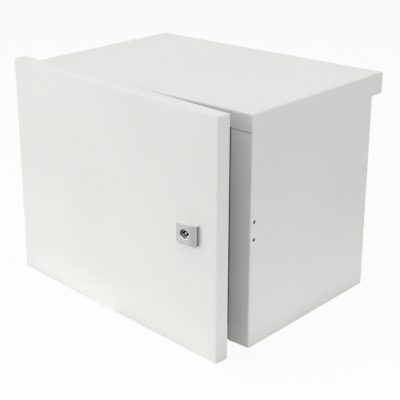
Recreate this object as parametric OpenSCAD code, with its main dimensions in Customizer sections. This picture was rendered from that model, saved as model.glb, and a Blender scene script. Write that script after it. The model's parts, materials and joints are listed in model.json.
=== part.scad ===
// Roadside utility cabinet: a folded sheet-steel box with a hinged pan door, shown ajar.
// Millimetres. +Z is up, +X is to the right seen from the front, and the front faces -Y.
// The origin is the centre of the underside of the base.
// Door pieces are drawn with the door shut and then swung open about the hinge axis.

/* [Cabinet] */
// width over the side walls
cab_w = 500; // [400:1:700]
// height from the base to the roof
cab_h = 381; // [300:1:600]
// depth from the front flange to the rear panel
cab_d = 321; // [200:1:500]
// sheet thickness of body and door
sheet = 1.5; // [1:0.1:3]
// outer radius of the body's bends
bend = 3; // [2:0.5:8]

/* [Front opening] */
// width of the front flange on each side
flange_side = 42; // [20:0.5:60]
// depth of the front flange under the roof
flange_top = 28.5; // [15:0.5:50]
// height of the front flange on the base
flange_base = 29; // [15:0.5:50]
// depth of the flange's inner edge, turned back into the cabinet
flange_return = 10; // [5:0.5:20]
// gap of the butt seams in the flange
seam = 1; // [0.4:0.1:2]

/* [Rear lip] */
// how far roof and sides run past the rear panel
lip_reach = 30; // [10:1:60]
// height of the rear lip
lip_drop = 36.5; // [20:0.5:60]
// slit between the lip and its side tabs
lip_slit = 0.8; // [0.4:0.1:2]

/* [Panels] */
// height of the turned-up edges of the base
base_turn = 12; // [8:1:25]
// depth of the turned edges of the rear panel
rear_turn = 15; // [8:1:25]
// length cut off the rear panel's turned edges at each corner
rear_relief = 20; // [14:1:40]
// radius of the wall fixing holes
wall_hole_r = 4.5; // [3:0.5:7]
// spacing of the wall fixing holes across
wall_hole_dx = 440; // [300:1:470]
// spacing of the wall fixing holes in height
wall_hole_dz = 270; // [150:1:320]
// height of the middle of the wall fixing holes
wall_hole_z = 190; // [150:1:220]
// radius of the two holes in the right wall
side_hole_r = 3; // [1.5:0.1:5]
// distance of the side holes behind the front
side_hole_in = 8; // [5:0.5:30]
// spacing of the side holes
side_hole_dz = 29; // [15:0.5:60]
// height of the middle of the side holes
side_hole_z = 196.5; // [100:0.5:300]

/* [Mounting plate] */
// width of the plate
plate_w = 380; // [250:1:400]
// height of the plate
plate_h = 290; // [200:1:310]
// height of the middle of the plate
plate_z = 190; // [150:1:220]
// thickness of the plate
plate_t = 2.5; // [1.5:0.5:4]
// radius of the plate's corners
plate_corner = 8; // [2:1:20]
// distance of the plate from the rear panel
plate_off = 25; // [15:1:60]
// distance of a stud from the plate's edge
plate_edge = 22; // [12:1:50]

/* [Gland plate] */
// width of the gland plate
gland_w = 290; // [150:1:360]
// depth of the gland plate
gland_d = 96; // [70:1:140]
// thickness of the gland plate
gland_t = 2; // [1.5:0.5:4]
// thickness of its gasket
gland_seal_t = 2; // [1:0.5:4]
// width of the rim outside the cut-out
gland_rim = 22; // [14:1:30]
// distance of the gland plate's middle behind the origin
gland_y = 92; // [60:1:110]
// radius of a grommet's hole
grommet_r = 16; // [8:0.5:20]
// distance between grommets
grommet_dx = 76; // [45:1:90]

/* [Door] */
// how far the door runs past the body on each side
door_over = 1; // [0:0.5:5]
// how far the door stands above the roof
door_rise = 12; // [0:0.5:30]
// height of the door's lower edge above the base
door_foot = 1; // [0.5:0.5:10]
// depth of the door pan
door_t = 25; // [15:0.5:40]
// gap between the shut door and the front flange
door_gap = 2; // [1:0.1:5]
// outer radius of the door's bends
door_bend = 3; // [2:0.5:6]
// width of the door's inward turned edge
door_return = 14; // [8:0.5:20]
// angle at which the door stands ajar
door_ajar = 5.4; // [0:0.1:90]
// width of the door's gasket
seal_w = 8; // [4:0.5:9]
// thickness of the door's gasket when compressed
seal_t = 1.6; // [0.8:0.1:1.7]
// distance of the gasket's middle from the edge of the door or roof
seal_in = 8.5; // [7:0.5:10]
// width of a stiffener
stiff_w = 44; // [20:1:60]
// depth of a stiffener
stiff_d = 10; // [5:1:15]
// sheet thickness of a stiffener
stiff_t = 1.2; // [1:0.1:2]
// length of a stiffener
stiff_l = 270; // [150:1:300]
// distance of a stiffener from the middle
stiff_x = 110; // [60:1:140]

/* [Hinges] */
// distance of the hinge axis outside the left wall
hinge_out = 7; // [6:0.5:15]
// radius of a knuckle
knuckle_r = 5; // [4:0.5:8]
// radius of a hinge pin
pin_r = 3; // [2:0.5:5]
// running clearance of the pin, radial
pin_clear = 0.05; // [0.02:0.01:0.1]
// height of a hinge
hinge_h = 52; // [30:1:80]
// thickness of a hinge leaf
leaf_t = 2; // [1.5:0.5:3]
// width of the body's leaf
leaf_frame_w = 32; // [20:1:50]
// width of the door's leaf
leaf_door_w = 17; // [12:1:20]
// thickness of the washer between the knuckles
hinge_washer_t = 1.2; // [0.8:0.1:2]
// axial play of the door's knuckle
hinge_play = 0.4; // [0.3:0.1:1]
// height of the lower hinge
hinge_low_z = 76; // [50:1:120]
// height of the upper hinge
hinge_high_z = 306; // [200:1:340]

/* [Lock] */
// distance of the lock's axis from the door's free edge
lock_in = 57.5; // [50:0.5:90]
// height of the lock's axis
lock_z = 202.5; // [100:0.5:300]
// width of the head on the hinge side of the axis
lock_left = 16; // [12:0.5:25]
// width of the head on the free side of the axis
lock_right = 19.5; // [13:0.5:30]
// height of the head above the axis
lock_above = 15; // [12:0.5:25]
// height of the head below the axis
lock_below = 18; // [12:0.5:25]
// how far the head stands out at its hinge side
lock_proud_left = 14.5; // [10:0.5:20]
// how far the head stands out at its free side
lock_proud_right = 6.5; // [4:0.5:10]
// bevel along both sides of the head
lock_bevel = 1.2; // [0.5:0.1:3]
// corner cut off the head at the lower left
lock_cut = 6; // [1:0.5:10]
// wall of the head round the finger hollow at its free side
lock_wall = 1.8; // [1.2:0.1:3]
// outer radius of the ring round the plug
ring_r = 9.7; // [9:0.1:12]
// radius of the ring's bead
ring_bead = 0.85; // [0.4:0.05:1.2]
// radius of the threaded barrel behind the head
barrel_r = 9; // [8.5:0.5:12]
// radius of the turning plug
plug_r = 7.5; // [5:0.5:7.5]
// running clearance of the plug, radial
plug_clear = 0.05; // [0.02:0.01:0.1]
// radius of the round part of the keyhole
key_r = 4.7; // [3:0.1:5]
// length across the keyhole's two bit slots
key_l = 13.6; // [8:0.1:14]
// height of the bit slots
key_w = 3.6; // [2:0.1:5]
// radius of the pin in the keyhole
key_pin_r = 2; // [1:0.1:2.5]
// length of the cam from its axis
cam_reach = 38; // [25:1:50]
// width of the cam
cam_w = 18; // [12:1:24]
// thickness of the cam
cam_t = 3; // [2:0.5:4]
// gap between the shut door's cam and the flange's turned edge
cam_gap = 1.5; // [0.5:0.1:4]

/* [Fasteners] */
// radius of the large studs
stud_r = 4; // [3:0.5:5]
// width across flats of the large nuts
nut_af = 13; // [10:1:17]
// height of the large nuts
nut_h = 6.5; // [5:0.5:8]
// radius of the small studs
small_stud_r = 3; // [2:0.5:4]
// width across flats of the small nuts
small_nut_af = 10; // [7:1:13]
// height of the small nuts
small_nut_h = 5; // [3:0.5:6]
// free play between a stud and the hole of its nut, washer or plate
play = 0.3; // [0.1:0.1:1]

/* [Hidden] */
$fn = 48;
eps = 0.1;
over = 1;
coat = [0.86, 0.87, 0.85];
zinc = [0.72, 0.73, 0.74];
silver = [0.76, 0.76, 0.75];
dark_steel = [0.30, 0.30, 0.31];
rubber = [0.10, 0.10, 0.11];
foam = [0.20, 0.20, 0.21];
half_w = cab_w / 2;
front_y = -cab_d / 2;
rear_y = cab_d / 2;
lip_y = rear_y + lip_reach;
inner_half = half_w - sheet;
back_y = rear_y - sheet;
inner_bend = bend - sheet;
open_half = half_w - flange_side - sheet;
open_top = cab_h - flange_top - sheet;
base_front_half = open_half + bend - seam;
base_grip = 20;
return_grip = 8;
base_rear_half = inner_half - rear_relief;
plate_y = back_y - plate_off - plate_t;
plate_stud_dx = plate_w - 2 * plate_edge;
plate_stud_dz = plate_h - 2 * plate_edge;
washer_t = 1.6;
washer_rim = 2;
washer_r = nut_af / 2 + washer_rim;
spacer_r = washer_r;
thread_show = 6;
gland_top = sheet + gland_seal_t + gland_t;
gland_stud_dx = gland_w - gland_rim;
gland_stud_dy = gland_d - gland_rim;
grommet_lip = 3;
grommet_skin = 1.5;
earth_at = [-200, -60];
earth_h = 28;
door_left = -half_w - door_over;
door_right = half_w + door_over;
door_low = door_foot;
door_high = cab_h + door_rise;
door_back = front_y - door_gap;
door_face = door_back - door_t;
door_in = door_face + sheet;
door_earth_at = [-165, 70];
door_earth_l = 18;
door_return_top = door_return + door_rise;
stiff_z = (door_low + door_high) / 2;
hinge_x = -half_w - hinge_out;
hinge_y = front_y - door_gap / 2;
hinges = [hinge_low_z, hinge_high_z];
knuckle_h = (hinge_h - hinge_washer_t - hinge_play) / 2;
neck_w = 10;
leaf_corner = 5;
pin_short = 3;
pin_top = hinge_h / 2 - pin_short;
lock_x = door_right - lock_in;
lock_fall = (lock_proud_left - lock_proud_right) / (lock_left + lock_right - 2 * lock_bevel);
lock_tilt = atan(lock_fall);
lock_face = door_face - lock_proud_left + lock_fall * (lock_left - lock_bevel);
lock_boss_r = ring_r + eps;
lock_ahead = door_face - 2 * lock_proud_left;
plug_sink = 0.2;
plug_face = lock_face + lock_fall * plug_r + plug_sink;
barrel_l = 18;
barrel_back = door_in + barrel_l;
lock_washer_t = 1.2;
lock_washer_r = 12.8;
lock_nut_af = 21;
lock_nut_h = 6.5;
plug_step_r = 6;
shank = 8;
cam_y = front_y + flange_return + cam_gap;
cam_back = cam_y + cam_t;
key_deep = 14;
screw_r = 2.5;
screw_l = 10;
screw_head_r = 4.5;
screw_head_h = 3.5;
screw_washer_r = 7;
screw_seat = cam_back + washer_t;

// Extrusion along Y of a profile drawn in X and Z
module along_y(y0, y1)
    translate([0, y1, 0])
        rotate([90, 0, 0])
            linear_extrude(y1 - y0)
                children();

// Extrusion along X of a profile drawn in Y and Z
module along_x(x0, x1)
    translate([x0, 0, 0])
        rotate([90, 0, 90])
            linear_extrude(x1 - x0)
                children();

// Extrusion along Z of a profile drawn in X and Y
module along_z(z0, z1)
    translate([0, 0, z0])
        linear_extrude(z1 - z0)
            children();

// What a rounded corner leaves out of a square one
module corner_cut(r)
    difference() {
        translate([-eps, -eps])
            square(r + eps);
        translate([r, r])
            circle(r);
    }

// Rectangle with its own radius at each corner, anticlockwise from the low left
module round_rect(low, high, radii) {
    corners = [low, [high.x, low.y], high, [low.x, high.y]];
    difference() {
        translate(low)
            square(high - low);
        for (i = [0:3])
            if (radii[i] > 0)
                translate(corners[i])
                    rotate(90 * i)
                        corner_cut(radii[i]);
    }
}

// Box between two opposite corners
module box(low, high)
    translate(low)
        cube(high - low);

// Round bar along Y
module bar_y(x, z, r, y0, y1)
    translate([x, y1, z])
        rotate([90, 0, 0])
            cylinder(r = r, h = y1 - y0);

// Hexagon by its width across flats
module hex(af)
    circle(d = af / cos(30), $fn = 6);

// Nut on an upright stud
module nut_z(x, y, z, af, h, hole)
    translate([x, y, z])
        linear_extrude(h)
            difference() {
                hex(af);
                circle(hole);
            }

// Nut, washer or spacer on a stud along Y
module ring_y(x, z, y0, y1, hole)
    translate([x, 0, z])
        along_y(y0, y1)
            difference() {
                children();
                circle(hole);
            }

// Four places at the corners of a rectangle
module at_corners(dx, dy)
    for (sx = [-1, 1])
        for (sy = [-1, 1])
            translate([sx * dx / 2, sy * dy / 2])
                children();

// The swing of the door from shut to ajar
module ajar()
    translate([hinge_x, hinge_y, 0])
        rotate([0, 0, -door_ajar])
            translate([-hinge_x, -hinge_y, 0])
                children();

// Body block with the bends of roof, sides, front and rear lip
module cabinet_block(inset, foot) {
    r = bend - inset;
    x = half_w - inset;
    top = cab_h - inset;
    intersection() {
        along_y(front_y + inset, lip_y - inset)
            round_rect([-x, foot], [x, top], [0, 0, r, r]);
        along_x(-x, x)
            round_rect([front_y + inset, foot], [lip_y - inset, top], [0, 0, r, r]);
        along_z(foot, top)
            round_rect([-x, front_y + inset], [x, lip_y - inset], [r, r, 0, 0]);
    }
}

// Left wall, roof and right wall folded from one sheet, with front flanges and rear lip
module body_wrap()
    color(coat)
        difference() {
            union() {
                difference() {
                    cabinet_block(0, 0);
                    cabinet_block(sheet, -over);
                    box(
                        [-open_half - bend, front_y - over, -over],
                        [open_half + bend, front_y + bend, open_top + bend]
                    );
                }
                wrap_returns();
            }
            box([-half_w - over, rear_y, -over], [half_w + over, lip_y + over, cab_h - lip_drop]);
            for (side = [0, 1])
                mirror([side, 0, 0]) {
                    flange_seam();
                    rear_slit();
                }
            translate([half_w - bend, front_y + side_hole_in, side_hole_z])
                for (dz = [-side_hole_dz / 2, side_hole_dz / 2])
                    translate([0, 0, dz])
                        rotate([0, 90, 0])
                            cylinder(r = side_hole_r, h = bend + over);
        }

// Inner edges of the flange, turned back into the cabinet at the sides and the top of the opening
module wrap_returns() {
    for (side = [0, 1])
        mirror([side, 0, 0])
            along_z(flange_base + seam, cab_h - flange_top - seam)
                side_return_section();
    along_x(seam - open_half, open_half - seam)
        top_return_section();
}

// Turned edge of the right flange in plan
module side_return_section()
    return_section([open_half, front_y], [return_grip, flange_return]);

// Turned edge of the roof's flange, seen from the side
module top_return_section()
    return_section([front_y, open_top], [flange_return, return_grip]);

// Angle of sheet with a bend at its low left corner
module return_section(low, reach)
    difference() {
        round_rect(low, low + reach, [bend, 0, 0, 0]);
        round_rect(low + [sheet, sheet], low + reach + [over, over], [inner_bend, 0, 0, 0]);
    }

// Butt seam between the flange of the roof and that of a side
module flange_seam()
    box(
        [open_half + sheet, front_y - over, cab_h - flange_top - seam],
        [half_w - bend / 2, front_y + sheet + eps, cab_h - flange_top]
    );

// Slit where the rear lip meets a side tab
module rear_slit()
    box(
        [inner_half - lip_slit, lip_y - bend, cab_h - lip_drop - over],
        [inner_half, lip_y + over, cab_h - bend]
    );

// Floor with its edges turned up, the flange below the opening and the cable cut-out
module base_panel()
    color(coat)
        difference() {
            union() {
                along_y(front_y + sheet, back_y)
                    base_section();
                along_x(-base_front_half, base_front_half)
                    base_front_section();
                along_x(-base_rear_half, base_rear_half)
                    base_rear_section();
            }
            translate([0, gland_y, -over])
                linear_extrude(sheet + 2 * over)
                    gland_outline(gland_rim);
            translate([0, 0, -over])
                for (side = [-1, 1])
                    translate([side * inner_half, front_y + sheet])
                        cylinder(r = base_turn / 2, h = base_turn + 2 * over);
        }

// Floor and side edges of the base
module base_section()
    difference() {
        round_rect([-inner_half, 0], [inner_half, base_turn], [bend, bend, 0, 0]);
        round_rect(
            [-inner_half + sheet, sheet],
            [inner_half - sheet, base_turn + over],
            [inner_bend, inner_bend, 0, 0]
        );
    }

// Front edge of the base, turned up as part of the flange and then back into the cabinet
module base_front_section()
    difference() {
        round_rect([front_y, 0], [front_y + base_grip, flange_base], [bend, 0, 0, bend]);
        round_rect(
            [front_y + sheet, sheet],
            [front_y + base_grip + over, flange_base - sheet],
            [inner_bend, 0, 0, inner_bend]
        );
        translate([front_y + flange_return, sheet])
            square([base_grip, flange_base]);
    }

// Rear edge of the base, turned up against the rear panel
module base_rear_section()
    difference() {
        round_rect([back_y - base_grip, 0], [back_y, base_turn], [0, bend, 0, 0]);
        round_rect(
            [back_y - base_grip - over, sheet],
            [back_y - sheet, base_turn + over],
            [0, inner_bend, 0, 0]
        );
    }

// Rear wall with turned edges at both sides and under the roof, and four fixing holes
module rear_panel()
    color(coat)
        difference() {
            union() {
                box([-inner_half, back_y, 0], [inner_half, rear_y, rear_relief]);
                along_z(rear_relief, cab_h - sheet - rear_relief)
                    rear_section();
                box(
                    [-inner_half, back_y, cab_h - sheet - rear_relief],
                    [inner_half, rear_y, cab_h - sheet - bend]
                );
                along_x(-base_rear_half, base_rear_half)
                    rear_top_section();
            }
            translate([0, 0, wall_hole_z])
                along_y(back_y - over, rear_y + over)
                    at_corners(wall_hole_dx, wall_hole_dz)
                        circle(wall_hole_r);
        }

// Rear wall and its side edges in plan
module rear_section()
    difference() {
        round_rect([-inner_half, rear_y - rear_turn], [inner_half, rear_y], [0, 0, bend, bend]);
        round_rect(
            [-inner_half + sheet, rear_y - rear_turn - over],
            [inner_half - sheet, back_y],
            [0, 0, inner_bend, inner_bend]
        );
    }

// Upper edge of the rear wall, turned forward under the roof
module rear_top_section() {
    top = cab_h - sheet;
    difference() {
        round_rect([rear_y - rear_turn, top - rear_relief], [rear_y, top], [0, 0, bend, 0]);
        round_rect(
            [rear_y - rear_turn - over, top - rear_relief - over],
            [back_y, top - sheet],
            [0, 0, inner_bend, 0]
        );
    }
}

// Flat plate that carries the equipment
module mounting_plate()
    color(zinc)
        translate([0, 0, plate_z])
            along_y(plate_y, plate_y + plate_t)
                difference() {
                    round_rect(
                        [-plate_w / 2, -plate_h / 2],
                        [plate_w / 2, plate_h / 2],
                        [for (i = [0:3]) plate_corner]
                    );
                    at_corners(plate_stud_dx, plate_stud_dz)
                        circle(stud_r + play);
                }

// Studs welded to the rear panel
module mounting_studs()
    color(zinc)
        translate([0, 0, plate_z])
            along_y(plate_y - washer_t - nut_h - thread_show, back_y)
                at_corners(plate_stud_dx, plate_stud_dz)
                    circle(stud_r);

// Distance tubes between rear panel and plate
module mounting_spacers()
    color(zinc)
        translate([0, 0, plate_z])
            along_y(plate_y + plate_t, back_y)
                at_corners(plate_stud_dx, plate_stud_dz)
                    difference() {
                        circle(spacer_r);
                        circle(stud_r + play);
                    }

// Washers in front of the plate
module mounting_washers()
    color(zinc)
        translate([0, 0, plate_z])
            along_y(plate_y - washer_t, plate_y)
                at_corners(plate_stud_dx, plate_stud_dz)
                    difference() {
                        circle(washer_r);
                        circle(stud_r + play);
                    }

// Nuts that hold the plate
module mounting_nuts()
    color(zinc)
        translate([0, 0, plate_z])
            along_y(plate_y - washer_t - nut_h, plate_y - washer_t)
                at_corners(plate_stud_dx, plate_stud_dz)
                    difference() {
                        hex(nut_af);
                        circle(stud_r + eps / 2);
                    }

// Outline of the gland plate, or of its cut-out when inset
module gland_outline(inset) {
    x = gland_w / 2 - inset;
    y = gland_d / 2 - inset;
    r = inset > 0 ? bend : plate_corner;
    round_rect([-x, -y], [x, y], [r, r, r, r]);
}

// Holes for the studs round the gland plate
module gland_stud_holes()
    at_corners(gland_stud_dx, gland_stud_dy)
        circle(small_stud_r + play);

// Cover plate over the cut-out in the floor
module gland_plate()
    color(zinc)
        translate([0, gland_y, gland_top - gland_t])
            linear_extrude(gland_t)
                difference() {
                    gland_outline(0);
                    gland_stud_holes();
                    for (i = [-1:1])
                        translate([i * grommet_dx, 0])
                            circle(grommet_r);
                }

// Flat seal under the gland plate
module gland_gasket()
    color(foam)
        translate([0, gland_y, sheet])
            linear_extrude(gland_seal_t)
                difference() {
                    gland_outline(0);
                    gland_outline(gland_rim);
                    gland_stud_holes();
                }

// Studs welded to the floor
module gland_studs()
    color(zinc)
        translate([0, gland_y, sheet])
            linear_extrude(gland_top + small_nut_h + thread_show / 2 - sheet)
                at_corners(gland_stud_dx, gland_stud_dy)
                    circle(small_stud_r);

// Nuts that hold the gland plate down
module gland_nuts()
    color(zinc)
        translate([0, gland_y, gland_top])
            linear_extrude(small_nut_h)
                at_corners(gland_stud_dx, gland_stud_dy)
                    difference() {
                        hex(small_nut_af);
                        circle(small_stud_r + eps / 2);
                    }

// Rubber grommets with a closed skin that is cut for a cable
module cable_grommets()
    color(rubber)
        for (i = [-1:1])
            translate([i * grommet_dx, gland_y, gland_top])
                rotate_extrude()
                    grommet_section();

// Half section of a grommet with its groove round the plate
module grommet_section() {
    low = -gland_t - gland_seal_t;
    difference() {
        translate([0, low])
            square([grommet_r + grommet_lip, grommet_lip - low]);
        translate([grommet_r, -gland_t])
            square([grommet_lip + over, gland_t]);
        translate([0, grommet_skin - gland_t])
            square([grommet_r - grommet_lip, gland_t + grommet_lip]);
        translate([0, low - over])
            square([grommet_r - grommet_lip, over - low - gland_t]);
    }
}

// Earth stud welded to the floor
module earth_stud()
    color(zinc)
        translate([earth_at.x, earth_at.y, sheet])
            cylinder(r = stud_r, h = earth_h - sheet);

// Two nuts on the earth stud, with room for a lug between them
module earth_nuts()
    color(zinc)
        for (z = [sheet, sheet + nut_h + 2 * washer_t])
            nut_z(earth_at.x, earth_at.y, z, nut_af, nut_h, stud_r + eps / 2);

// Knuckle of a hinge, drawn round the axis
module knuckle(z0, h, hole)
    translate([hinge_x, hinge_y, z0])
        linear_extrude(h)
            difference() {
                circle(knuckle_r);
                circle(hole);
            }

// Leaf of a hinge: a plate against a wall, from its outer to its inner face
module leaf(x0, y0, y1, radii)
    along_x(x0, x0 + leaf_t)
        round_rect([y0, -hinge_h / 2], [y1, hinge_h / 2], radii);

// Body halves of the hinges, each with the lower knuckle
module hinge_frame_leaves() {
    neck_y = hinge_y + door_gap / 2 + eps;
    leaf_y = hinge_y + neck_w;
    color(coat)
        for (z = hinges)
            translate([0, 0, z])
                difference() {
                    union() {
                        knuckle(-hinge_h / 2, knuckle_h, pin_r);
                        box(
                            [hinge_x + eps, neck_y, -hinge_h / 2],
                            [-half_w, leaf_y + eps, knuckle_h - hinge_h / 2]
                        );
                        leaf(
                            -half_w - leaf_t,
                            leaf_y, leaf_y + leaf_frame_w,
                            [0, leaf_corner, leaf_corner, 0]
                        );
                    }
                    translate([hinge_x, hinge_y, -hinge_h])
                        cylinder(r = pin_r, h = 2 * hinge_h);
                }
}

// Pins pressed into the lower knuckles
module hinge_pins()
    color(zinc)
        for (z = hinges)
            translate([hinge_x, hinge_y, z - hinge_h / 2])
                cylinder(r = pin_r, h = hinge_h / 2 + pin_top);

// Washers between the knuckles
module hinge_washers()
    color(zinc)
        for (z = hinges)
            translate([hinge_x, hinge_y, z - hinge_h / 2 + knuckle_h])
                linear_extrude(hinge_washer_t)
                    difference() {
                        circle(knuckle_r);
                        circle(pin_r + play);
                    }

// Door halves of the hinges, each with the upper knuckle
module hinge_door_leaves() {
    neck_y = hinge_y - door_gap / 2 - eps;
    leaf_y = door_back - door_bend;
    low = hinge_h / 2 - knuckle_h;
    color(coat)
        ajar()
            for (z = hinges)
                translate([0, 0, z])
                    difference() {
                        union() {
                            knuckle(low, knuckle_h, pin_r + pin_clear);
                            box([hinge_x + eps, leaf_y - eps, low], [door_left, neck_y, hinge_h / 2]);
                            leaf(
                                door_left - leaf_t,
                                leaf_y - leaf_door_w, leaf_y,
                                [leaf_corner, 0, 0, leaf_corner]
                            );
                        }
                        translate([hinge_x, hinge_y, -hinge_h])
                            cylinder(r = pin_r + pin_clear, h = 2 * hinge_h);
                    }
}

// Door block with rounded edges on every side
module door_block(inset) {
    r = door_bend - inset;
    radii = [r, r, r, r];
    intersection() {
        along_y(door_face + inset, door_back - inset)
            round_rect(
                [door_left + inset, door_low + inset],
                [door_right - inset, door_high - inset],
                radii
            );
        along_x(door_left + inset, door_right - inset)
            round_rect(
                [door_face + inset, door_low + inset],
                [door_back - inset, door_high - inset],
                radii
            );
        along_z(door_low + inset, door_high - inset)
            round_rect(
                [door_left + inset, door_face + inset],
                [door_right - inset, door_back - inset],
                radii
            );
    }
}

// Door folded as a pan, with its rims turned inward again at the rear
module door_pan()
    color(coat)
        ajar()
            difference() {
                door_block(0);
                door_block(sheet);
                box(
                    [door_left + door_return, door_back - door_bend, door_low + door_return],
                    [door_right - door_return, door_back + over, door_high - door_return_top]
                );
                door_seams();
                bar_y(lock_x, lock_z, barrel_r + play, door_face - over, door_in + over);
            }

// Butt seams at the corners of the door's turned edge
module door_seams()
    for (side = [0, 1])
        mirror([side, 0, 0])
            for (z = [door_low + door_return, door_high - door_return_top])
                box(
                    [door_right - door_return - eps, door_in, z - seam / 2],
                    [door_right - door_bend, door_back + over, z + seam / 2]
                );

// Foam gasket on the door's turned edge, opposite the front flange
module door_gasket()
    color(foam)
        ajar()
            along_y(door_back, door_back + seal_t)
                difference() {
                    seal_outline(seal_in - seal_w / 2);
                    seal_outline(seal_in + seal_w / 2);
                }

// Outline at a distance inside the edge of the door and the roof
module seal_outline(inset) {
    r = 2 * seal_in - inset;
    round_rect(
        [door_left + inset, door_low + inset],
        [door_right - inset, cab_h - inset],
        [r, r, r, r]
    );
}

// Hat-section stiffeners welded inside the door
module door_stiffeners()
    color(coat)
        ajar()
            for (side = [-1, 1])
                translate([side * stiff_x, 0, 0])
                    along_z(stiff_z - stiff_l / 2, stiff_z + stiff_l / 2)
                        hat_section();

// Hat section with its feet on the door's inner face
module hat_section() {
    foot = stiff_w / 4;
    crown = stiff_w / 2 - foot;
    translate([0, door_in])
        difference() {
            union() {
                round_rect([-crown, 0], [crown, stiff_d], [0, 0, stiff_t * 2, stiff_t * 2]);
                translate([-stiff_w / 2, 0])
                    square([stiff_w, stiff_t]);
            }
            round_rect(
                [-crown + stiff_t, -over],
                [crown - stiff_t, stiff_d - stiff_t],
                [0, 0, stiff_t, stiff_t]
            );
        }
}

// Earth stud on the inside of the door
module door_earth_stud()
    color(zinc)
        ajar()
            bar_y(door_earth_at.x, door_earth_at.y, small_stud_r, door_in, door_in + door_earth_l);

// Nut on the door's earth stud
module door_earth_nut()
    color(zinc)
        ajar()
            ring_y(
                door_earth_at.x, door_earth_at.y,
                door_in, door_in + small_nut_h,
                small_stud_r + eps / 2
            )
                hex(small_nut_af);

// Lock head with a sloping face, the ring round its plug and the threaded barrel through the door
module lock_housing()
    color(silver)
        ajar()
            difference() {
                union() {
                    difference() {
                        intersection() {
                            along_z(lock_z - lock_below, lock_z + lock_above)
                                lock_plan();
                            translate([lock_x, 0, lock_z])
                                along_y(lock_ahead, door_face)
                                    lock_front();
                        }
                        lock_hollow();
                    }
                    lock_ring();
                    bar_y(lock_x, lock_z, barrel_r, door_face - eps, barrel_back);
                }
                bar_y(lock_x, lock_z, plug_r + plug_clear, lock_ahead, barrel_back + over);
            }

// Plan of the lock head, highest at the hinge side
module lock_plan()
    translate([lock_x, door_face])
        polygon([
            [-lock_left, 0],
            [lock_right, 0],
            [lock_right, lock_bevel - lock_proud_right],
            [lock_right - lock_bevel, -lock_proud_right],
            [lock_bevel - lock_left, -lock_proud_left],
            [-lock_left, lock_bevel - lock_proud_left]
        ]);

// Front view of the lock head, with the corner cut at the lower left
module lock_front() {
    r = lock_bevel;
    difference() {
        round_rect([-lock_left, -lock_below], [lock_right, lock_above], [0, r, r, r]);
        translate([-lock_left, -lock_below])
            polygon([[-over, -over], [lock_cut + over, -over], [-over, lock_cut + over]]);
    }
}

// Finger hollow behind the head's face, open at the free side
module lock_hollow() {
    end = lock_right + over;
    wall = lock_wall / cos(lock_tilt);
    difference() {
        along_z(lock_z - lock_below + lock_wall, lock_z + lock_above - lock_wall)
            translate([lock_x, 0])
                polygon([
                    [0, door_face + over],
                    [end, door_face + over],
                    [end, lock_face + lock_fall * end + wall],
                    [0, lock_face + wall]
                ]);
        bar_y(lock_x, lock_z, lock_boss_r, lock_ahead, door_face + 2 * over);
    }
}

// Beaded ring in the plane of the sloping face
module lock_ring()
    translate([lock_x, lock_face, lock_z])
        rotate([90, 0, lock_tilt])
            rotate_extrude()
                translate([ring_r - ring_bead, 0])
                    circle(ring_bead);

// Washer under the lock's nut
module lock_washer()
    color(zinc)
        ajar()
            ring_y(lock_x, lock_z, door_in, door_in + lock_washer_t, barrel_r + play)
                circle(lock_washer_r);

// Nut that clamps the lock in the door
module lock_nut() {
    y = door_in + lock_washer_t;
    color(zinc)
        ajar()
            ring_y(lock_x, lock_z, y, y + lock_nut_h, barrel_r + eps / 2)
                hex(lock_nut_af);
}

// Turning plug with its keyhole in front and a square shank behind
module lock_plug()
    color(silver)
        ajar()
            difference() {
                union() {
                    bar_y(lock_x, lock_z, plug_r, plug_face, barrel_back);
                    bar_y(lock_x, lock_z, plug_step_r, barrel_back - eps, cam_y);
                    translate([lock_x, 0, lock_z])
                        along_y(cam_y - eps, cam_back)
                            square(shank, center = true);
                }
                translate([lock_x, 0, lock_z])
                    along_y(plug_face - over, plug_face + key_deep)
                        keyhole();
                bar_y(lock_x, lock_z, screw_r + eps / 2, cam_back - screw_l, cam_back + over);
            }

// Round keyhole with two bit slots, left free round a pin
module keyhole()
    difference() {
        union() {
            circle(key_r);
            square([key_l, key_w], center = true);
        }
        circle(key_pin_r);
    }

// Cam that reaches behind the front flange when it is turned
module lock_cam()
    color(zinc)
        ajar()
            translate([lock_x, 0, lock_z])
                along_y(cam_y, cam_back)
                    difference() {
                        cam_outline();
                        square(shank + eps, center = true);
                    }

// Bar with round ends, upright when unlocked
module cam_outline() {
    r = cam_w / 2;
    union() {
        circle(r);
        translate([-r, 0])
            square([cam_w, cam_reach - r]);
        translate([0, cam_reach - r])
            circle(r);
    }
}

// Screw with its washer that holds the cam on the shank
module lock_cam_screw()
    color(dark_steel)
        ajar() {
            bar_y(lock_x, lock_z, screw_r, cam_back - screw_l + eps, screw_seat);
            bar_y(lock_x, lock_z, screw_washer_r, cam_back, screw_seat);
            bar_y(lock_x, lock_z, screw_head_r, screw_seat - eps, screw_seat + screw_head_h);
        }

body_wrap();
base_panel();
rear_panel();
mounting_plate();
mounting_studs();
mounting_spacers();
mounting_washers();
mounting_nuts();
gland_plate();
gland_gasket();
gland_studs();
gland_nuts();
cable_grommets();
earth_stud();
earth_nuts();
hinge_frame_leaves();
hinge_pins();
hinge_washers();
door_pan();
door_gasket();
door_stiffeners();
hinge_door_leaves();
door_earth_stud();
door_earth_nut();
lock_housing();
lock_washer();
lock_nut();
lock_plug();
lock_cam();
lock_cam_screw();
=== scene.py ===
import json
import math
from collections import namedtuple

import bmesh
import bpy
from mathutils import Matrix, Vector


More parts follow.
